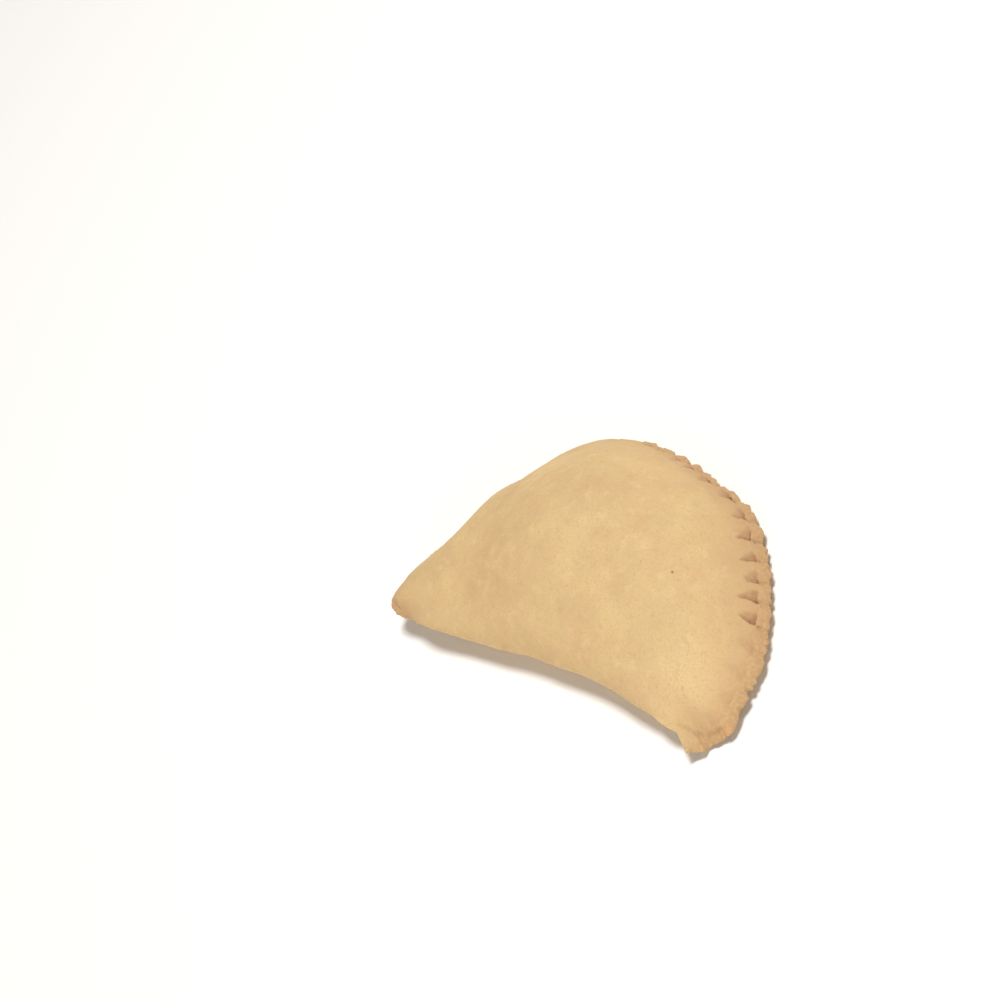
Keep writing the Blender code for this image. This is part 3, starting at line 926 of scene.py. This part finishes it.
# %% Helper for marks
def store_mark(name, values):
    mark = skin_mesh.attributes.new(name, "FLOAT", "POINT")
    shares = np.zeros(len(points), dtype=np.float32)
    shares[:values.size] = np.clip(values, 0.0, 1.0).ravel()
    mark.data.foreach_set("value", shares)
    print(f"{name}: {np.count_nonzero(shares > 0.5)} points")


on_top = rows >= under_rings
print(f"{np.count_nonzero(on_top)} rings are on top")

# %% Mark the dents, and the painted shade at their walls and in the creases of the squared end
DENT_SHADE_POWER = 0.8
CREASE_SHADE_FULL = 0.45 * MM
CREASE_SHADE = 0.3

on_tab = (net[..., 0] > TAB_CORNER_X) * (net[..., 1] < 0.0)
# painted shade also lies in the sharp creases of the squared end
tab_crease_shade = np.clip(creases / CREASE_SHADE_FULL, 0.0, 1.0) * on_tab
# the dent mark darkens the crimps: partly painted shade in their hollows, partly a browner dough
store_mark("dent", dented ** DENT_SHADE_POWER)
store_mark("wall", np.maximum(wall_shade_marks, CREASE_SHADE * tab_crease_shade))

# %% Mark the rim, the crumbs and the underside
RIM_MARK_FULL, RIM_MARK_END = 0.55, 1.6
UNDER_MARK_FULL, UNDER_MARK_END = 6.0, 1.0
SANDY_MARK = 0.6

up_band = np.maximum(rows_up, 0.0) / BAND_ROWS
rim_rows = (1.0 - smooth_step(RIM_MARK_FULL, RIM_MARK_END, up_band)) * on_top
under_part = 1.0 - smooth_step(-UNDER_MARK_FULL, -UNDER_MARK_END, rows - under_rings)
store_mark("rim", rim_rows[:, None] * rim)
store_mark("under", under_part[:, None] * np.ones(column_count))
store_mark("crumbly", np.maximum(crumbly * on_top[:, None], SANDY_MARK * sandy))

# %% Mark the toasted spots
TOAST_ROWS = (1, 7)
TOAST_LEFT_START, TOAST_LEFT_FULL = -42.0 * MM, -46.0 * MM
TOAST_X, TOAST_Y = 46.9 * MM, -3.5 * MM
TOAST_RADIUS, TOAST_CORE = 2.2 * MM, 0.6 * MM

edge_near = 1.0 - smooth_step(*TOAST_ROWS, rows_up)
left_end = smooth_step(TOAST_LEFT_START, TOAST_LEFT_FULL, net[..., 0]) * edge_near[:, None]
from_spot = np.hypot(net[..., 0] - TOAST_X, net[..., 1] - TOAST_Y)
right_spot = smooth_step(TOAST_RADIUS, TOAST_CORE, from_spot)
store_mark("toast", np.maximum(left_end, right_spot) * on_top[:, None])

# %% [markdown]
# ## Broad painted shade and highlight
# Two larger areas differ a little. Over the left half of the fold the dough is darker and pinker:
# partly a pinker tone, partly painted shade. The right-hand corner is paler: a painted highlight.
# Each is a round mark that fades outwards.

# %% Mark the painted shade and highlight
# the darker, pinker patch: partly a pinker tone, partly painted shade
PINK_SHADE_AT, PINK_SHADE_RADIUS = (-17.0 * MM, -13.0 * MM), 12.0 * MM
# the paler patch on the right-hand corner is a painted highlight
HIGHLIGHT_AT, HIGHLIGHT_RADIUS = (37.5 * MM, -19.5 * MM), 9.0 * MM


def round_mark(middle, radius):
    placed = points[:net[..., 0].size].reshape(net.shape)
    away = np.hypot(placed[..., 0] - middle[0], placed[..., 1] - middle[1])
    return np.exp(-(away / radius) ** 2) * on_top[:, None]


# darker, pinker patch: partly a pinker tone, partly painted shade
store_mark("pinkish painted shade", round_mark(PINK_SHADE_AT, PINK_SHADE_RADIUS))
# paler patch on the right-hand corner: a painted highlight
store_mark("painted highlight corner", round_mark(HIGHLIGHT_AT, HIGHLIGHT_RADIUS))

# %% [markdown]
# ## Helpers for the material
# A material is a chain of nodes, and building it repeats the same few steps: a ramp, a
# random mask, a mark read from the mesh, a sum, and one colour laid over another. Each
# becomes a helper, so that the recipe itself stays short.

# %% Start the material
dough = bpy.data.materials.new("pale dough")
dough.use_nodes = True
nodes, links = dough.node_tree.nodes, dough.node_tree.links
shader = nodes["Principled BSDF"]
surface_place = nodes.new("ShaderNodeTexCoord").outputs["Object"]
print(f"{dough.name} starts with {len(nodes)} nodes")

# %% Colours as a screen shows them
def as_linear(red, green, blue):
    """The usual screen curve undone: colours of 0 to 255 become the shader's linear ones."""
    shown = np.array([red, green, blue]) / 255.0
    straight = np.where(shown <= 0.04045, shown / 12.92, ((shown + 0.055) / 1.055) ** 2.4)
    return (*straight.tolist(), 1.0)


print("the dough's own colour:", [round(value, 2) for value in as_linear(203, 174, 126)])

# %% Ramps and random patches
def ramp(value, start, end, low=0.0, high=1.0, course="LINEAR"):
    """Turns a value from start to end into one from low to high, and stops there."""
    span = nodes.new("ShaderNodeMapRange")
    span.interpolation_type = course
    limits = {"From Min": start, "From Max": end, "To Min": low, "To Max": high}
    for name, limit in limits.items():
        span.inputs[name].default_value = limit
    links.new(value, span.inputs["Value"])
    return span.outputs["Result"]


def patches(label, size, seed, start, end, detail=3.0):
    """A mask of soft random patches about as wide as size."""
    texture = nodes.new("ShaderNodeTexNoise")
    texture.label = label
    texture.noise_dimensions = "4D"
    texture.inputs["W"].default_value = seed
    texture.inputs["Scale"].default_value = 1.0 / size
    texture.inputs["Detail"].default_value = detail
    links.new(surface_place, texture.inputs["Vector"])
    return ramp(texture.outputs["Fac"], start, end, course="SMOOTHSTEP")


print("helpers ready:", ramp.__name__, "and", patches.__name__)

# %% Marks and sums
def mark(name):
    attribute = nodes.new("ShaderNodeAttribute")
    attribute.attribute_name = name
    return attribute.outputs["Fac"]


def calculate(operation, first, second):
    step = nodes.new("ShaderNodeMath")
    step.operation = operation
    for socket, value in zip(step.inputs, (first, second)):
        if isinstance(value, (int, float)):
            socket.default_value = value
        else:
            links.new(value, socket)
    return step.outputs["Value"]


print("helpers ready:", mark.__name__, "and", calculate.__name__)

# %% One colour over another
FACTOR, BELOW, ABOVE = 0, 6, 7
MIXED_COLOUR = 2


def tint(under, label, colour, mask, most):
    """Lays a colour over the one below, where the mask says, at most this strongly."""
    mix = nodes.new("ShaderNodeMix")
    mix.data_type = "RGBA"
    mix.label = label
    links.new(calculate("MULTIPLY", mask, most), mix.inputs[FACTOR])
    if isinstance(under, tuple):
        mix.inputs[BELOW].default_value = under
    else:
        links.new(under, mix.inputs[BELOW])
    mix.inputs[ABOVE].default_value = colour
    return mix.outputs[MIXED_COLOUR]


print("helper ready:", tint.__name__)

# %% [markdown]
# ## Colour of dough
# The dough is pale, dry and floury. At a second look it is uneven: broad pale and pinkish patches,
# a faint grey here and there, darker crimps, fine grain and a few dark specks. Some tints are
# painted light: the crimps' darker colour is partly painted shade, their steep walls get painted
# shade, a patch over the left half of the fold is partly painted shade, and the right-hand corner
# gets a painted highlight. One Principled shader carries it. Its colour is built up like paint, one
# thin tint over the other, and each tint keeps to its patches, to its mark, or to both.

# %% List the tints
DOUGH_COLOUR = (203, 174, 126)
TINTS = (
    # name, colour, strength, mark or None, patches or None: size mm, seed, start, end
    ("pale patches", (210, 182, 131), 0.70, None, (13.0, 1.0, 0.42, 0.66)),
    ("pinkish patches", (197, 162, 120), 0.60, None, (7.0, 2.0, 0.46, 0.70)),
    ("greyish patches", (192, 167, 121), 0.40, None, (5.0, 3.0, 0.50, 0.70)),
    ("floury blotches", (214, 187, 139), 0.50, None, (2.4, 4.0, 0.50, 0.72)),
    # partly a pinker tone, partly painted shade over the left half of the fold
    ("pinkish painted shade", (194, 160, 114), 0.80, "pinkish painted shade", (3.0, 15.0, 0.30, 0.62)),
    # a painted highlight on the right-hand corner
    ("painted highlight corner", (216, 188, 139), 0.60, "painted highlight corner", None),
    ("rim", (187, 151, 111), 0.60, "rim", None),
    ("dry crumbs", (172, 133, 94), 0.60, "crumbly", (0.6, 12.0, 0.30, 0.60)),
    # darker crimps: partly painted shade in the hollows, partly a browner dough
    ("crimp shade and browning", (164, 117, 92), 0.90, "dent", (0.6, 5.0, 0.22, 0.60)),
    # painted shade in the crevices at the dents' steep walls and in the creases of the squared end
    ("shade at steep walls", (140, 92, 68), 0.75, "wall", (1.2, 13.0, 0.20, 0.50)),
    ("toasted spots", (212, 158, 102), 0.65, "toast", (0.8, 6.0, 0.30, 0.62)),
    ("baked underside", (150, 102, 62), 0.90, "under", None),
    ("fine grain", (188, 153, 108), 0.55, None, (0.35, 7.0, 0.46, 0.72, 2.0)),
    ("flecks", (184, 150, 104), 0.30, None, (0.9, 14.0, 0.54, 0.70)),
)
print("tints from the lowest up:", ", ".join(row[0] for row in TINTS))

# %% Paint the dough
def tint_mask(label, mark_name, patch):
    """The mark, the patches, or the mark only where the patches are."""
    if patch is None:
        return mark(mark_name)
    size_mm, *rest = patch
    spots = patches(label, size_mm * MM, *rest)
    return spots if mark_name is None else calculate("MULTIPLY", mark(mark_name), spots)


paint = as_linear(*DOUGH_COLOUR)
for label, colour, strength, mark_name, patch in TINTS:
    paint = tint(paint, label, as_linear(*colour), tint_mask(label, mark_name, patch), strength)
print("tints:", sum(node.type == "MIX" for node in nodes))

# %% [markdown]
# ## Dark specks
# Here and there a bit of bran shows as a tiny dark speck. Cell noise gives a dot in each
# cell, and a mask of random patches lets only a few of the dots through.

# %% Dark specks
SPECK_SPACING = 5.0 * MM
SPECK_EDGE, SPECK_CORE = 0.07, 0.03
SPECK_COLOUR, SPECK_STRENGTH = (120, 88, 60), 0.75
FEW_SPECKS = (6.0 * MM, 8.0, 0.50, 0.62)

specks = nodes.new("ShaderNodeTexVoronoi")
specks.inputs["Scale"].default_value = 1.0 / SPECK_SPACING
links.new(surface_place, specks.inputs["Vector"])
near_speck = ramp(specks.outputs["Distance"], SPECK_EDGE, SPECK_CORE)
speck_mask = calculate("MULTIPLY", near_speck, patches("few specks", *FEW_SPECKS))
paint = tint(paint, "dark specks", as_linear(*SPECK_COLOUR), speck_mask, SPECK_STRENGTH)
links.new(paint, shader.inputs["Base Color"])
print("colour joined to the shader")

# %% [markdown]
# ## Roughness and finest relief
# Dry dough hardly shines, and least where it is driest. The finest unevenness would need
# millions of faces, so it is the one thing that bump shading adds.

# %% Roughness
SMOOTHEST, ROUGHEST = 0.68, 0.9
DRY_PATCHES = (4.0 * MM, 9.0, 0.35, 0.65)
SHINE = 0.3

rough = ramp(patches("dry patches", *DRY_PATCHES), 0.0, 1.0, SMOOTHEST, ROUGHEST)
links.new(rough, shader.inputs["Roughness"])
shader.inputs["Specular IOR Level"].default_value = SHINE
print(f"roughness {SMOOTHEST} to {ROUGHEST}")

# %% Finest relief
FINE_BUMPS, FINE_SHARE = (0.5 * MM, 10.0, 0.2, 0.8), 0.5
COARSE_BUMPS, COARSE_SHARE = (1.6 * MM, 11.0, 0.2, 0.8), 0.8
BUMP_STRENGTH, BUMP_DEPTH = 0.55, 0.12 * MM

fine = calculate("MULTIPLY", patches("fine bumps", *FINE_BUMPS), FINE_SHARE)
coarse = calculate("MULTIPLY", patches("coarse bumps", *COARSE_BUMPS), COARSE_SHARE)
bump = nodes.new("ShaderNodeBump")
bump.inputs["Strength"].default_value = BUMP_STRENGTH
bump.inputs["Distance"].default_value = BUMP_DEPTH
links.new(calculate("ADD", fine, coarse), bump.inputs["Height"])
links.new(bump.outputs["Normal"], shader.inputs["Normal"])
skin_mesh.materials.append(dough)
print(f"{dough.name} has {len(nodes)} nodes")

# %% [markdown]
# ## Into the part's frame
# The skin rides on the part's one body and takes the place of its coarse solid.

# %% Ride on the part
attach(skin, "root")
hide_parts("panzerotto")
print("the skin rides on root")

# %% [markdown]
# ## Floor
# A plain pale floor shows the soft shadow that tells how the pastry lies. One square is
# enough, as long as it reaches past the picture.

# %% Floor
FLOOR_HALF = 1.5
FLOOR_COLOUR = (0.92, 0.91, 0.90, 1.0)
FLOOR_ROUGHNESS = 0.9

floor_mesh = bpy.data.meshes.new("floor")
directions = [(-1.0, -1.0), (1.0, -1.0), (1.0, 1.0), (-1.0, 1.0)]
corner_points = [(x * FLOOR_HALF, y * FLOOR_HALF, 0.0) for x, y in directions]
floor_mesh.from_pydata(corner_points, [], [(0, 1, 2, 3)])
floor = bpy.data.objects.new("floor", floor_mesh)
bpy.context.scene.collection.objects.link(floor)
floor_white = bpy.data.materials.new("floor white")
floor_white.use_nodes = True
floor_shader = floor_white.node_tree.nodes["Principled BSDF"]
floor_shader.inputs["Base Color"].default_value = FLOOR_COLOUR
floor_shader.inputs["Roughness"].default_value = FLOOR_ROUGHNESS
floor_mesh.materials.append(floor_white)
floor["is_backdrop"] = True
print(f"floor of {2.0 * FLOOR_HALF:.0f} m square")

# %% [markdown]
# ## Camera
# The camera looks down at the pastry from its right tip's side, and is rolled, so that the
# fold runs from the upper left to the lower right. Its direction is worked out from three
# angles. Where the pastry lies in the picture is a matter of turning the camera a little
# aside, so no lens shift is needed.

# %% Directions of the picture
VIEW_AZIMUTH = math.radians(72.98)
VIEW_HEIGHT = math.radians(42.03)
VIEW_ROLL = math.radians(-46.45)

towards = Vector((
    math.sin(VIEW_AZIMUTH) * math.cos(VIEW_HEIGHT),
    -math.cos(VIEW_AZIMUTH) * math.cos(VIEW_HEIGHT),
    math.sin(VIEW_HEIGHT),
))
level = Vector((0.0, 0.0, 1.0)).cross(towards).normalized()
upright = towards.cross(level)
picture_right = math.cos(VIEW_ROLL) * level + math.sin(VIEW_ROLL) * upright
picture_up = math.cos(VIEW_ROLL) * upright - math.sin(VIEW_ROLL) * level
print("towards the camera:", [round(value, 2) for value in towards])

# %% Camera
DISTANCE = 0.6
PICTURE_PIXELS = 1000.0
PIXELS_PER_METRE = 5134.0
SENSOR_MM = 36.0
AIM = Vector((0.0, -3.0 * MM, 10.0 * MM))
AIM_PIXEL = (588.9, 564.4)

focal_pixels = PIXELS_PER_METRE * DISTANCE
half = PICTURE_PIXELS / 2.0
sight = Vector((AIM_PIXEL[0] - half, half - AIM_PIXEL[1], -focal_pixels)).normalized()
aside = sight.rotation_difference(Vector((0.0, 0.0, -1.0))).to_matrix()
stand = (Matrix((picture_right, picture_up, towards)).transposed() @ aside).to_4x4()
stand.translation = AIM + towards * DISTANCE

camera_data = bpy.data.cameras.new("camera")
camera_data.sensor_width = SENSOR_MM
camera_data.lens = SENSOR_MM * focal_pixels / PICTURE_PIXELS
camera = bpy.data.objects.new("camera", camera_data)
bpy.context.scene.collection.objects.link(camera)
camera.matrix_world = stand
bpy.context.scene.camera = camera
print(f"lens {camera_data.lens:.0f} mm at {DISTANCE} m")

# %% [markdown]
# ## Light
# The dough is lit evenly, and still throws a shadow. An evenly bright room would wash the
# shadow out, so this room is bright near the horizon and dim overhead. Two soft lamps low
# in front and on the left help it, and a small strong one overhead, a little behind, throws
# the short shadow under the fold.

# %% Bright room
ROOM_COLOUR = (1.0, 0.91, 0.79, 1.0)
LOW_STRENGTH = 1.3
HIGH_STRENGTH = 0.12
HIGH_FROM = 0.7

room = bpy.data.worlds.new("bright room")
room.use_nodes = True
room_nodes, room_links = room.node_tree.nodes, room.node_tree.links
room_light = room_nodes["Background"]
room_light.inputs["Color"].default_value = ROOM_COLOUR
room_direction = room_nodes.new("ShaderNodeTexCoord").outputs["Generated"]
upwards = room_nodes.new("ShaderNodeSeparateXYZ")
room_links.new(room_direction, upwards.inputs["Vector"])
fading = room_nodes.new("ShaderNodeMapRange")
fading.inputs["From Max"].default_value = HIGH_FROM
fading.inputs["To Min"].default_value = LOW_STRENGTH
fading.inputs["To Max"].default_value = HIGH_STRENGTH
room_links.new(upwards.outputs["Z"], fading.inputs["Value"])
room_links.new(fading.outputs["Result"], room_light.inputs["Strength"])
bpy.context.scene.world = room
bpy.context.scene.view_settings.view_transform = "Standard"
print(f"the room goes from {LOW_STRENGTH} low down to {HIGH_STRENGTH} overhead")

# %% Lamps
LAMP_DISTANCE = 0.9
LAMPS = (
    # name, direction, width in metres, watts
    ("front lamp", (0.62, -0.80, 0.18), 0.50, 3.4),
    ("left lamp", (-0.85, -0.50, 0.12), 0.50, 1.3),
    ("overhead lamp", (0.10, 0.26, 1.00), 0.26, 7.3),
)

for name, direction, width, watts in LAMPS:
    lamp = bpy.data.lights.new(name, "AREA")
    lamp.size = width
    lamp.energy = watts
    holder = bpy.data.objects.new(name, lamp)
    bpy.context.scene.collection.objects.link(holder)
    holder.location = Vector(direction).normalized() * LAMP_DISTANCE
    holder.rotation_euler = Vector(direction).to_track_quat("Z", "Y").to_euler()
    print(f"{name}: {watts} W, {width} m wide")

# %% [markdown]
# ## Sizes
# The skin should be about as large as the part's own box: only its wandering edge may reach a
# little past it. How much larger its box is, side by side, is printed.

# %% Print how much larger the skin is
low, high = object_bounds()
grown = [((b - a) - (d - c)) / MM for a, b, c, d in zip(low, high, cad_low, cad_high)]
print("the skin's box is larger by, in mm:", [round(value, 2) for value in grown])
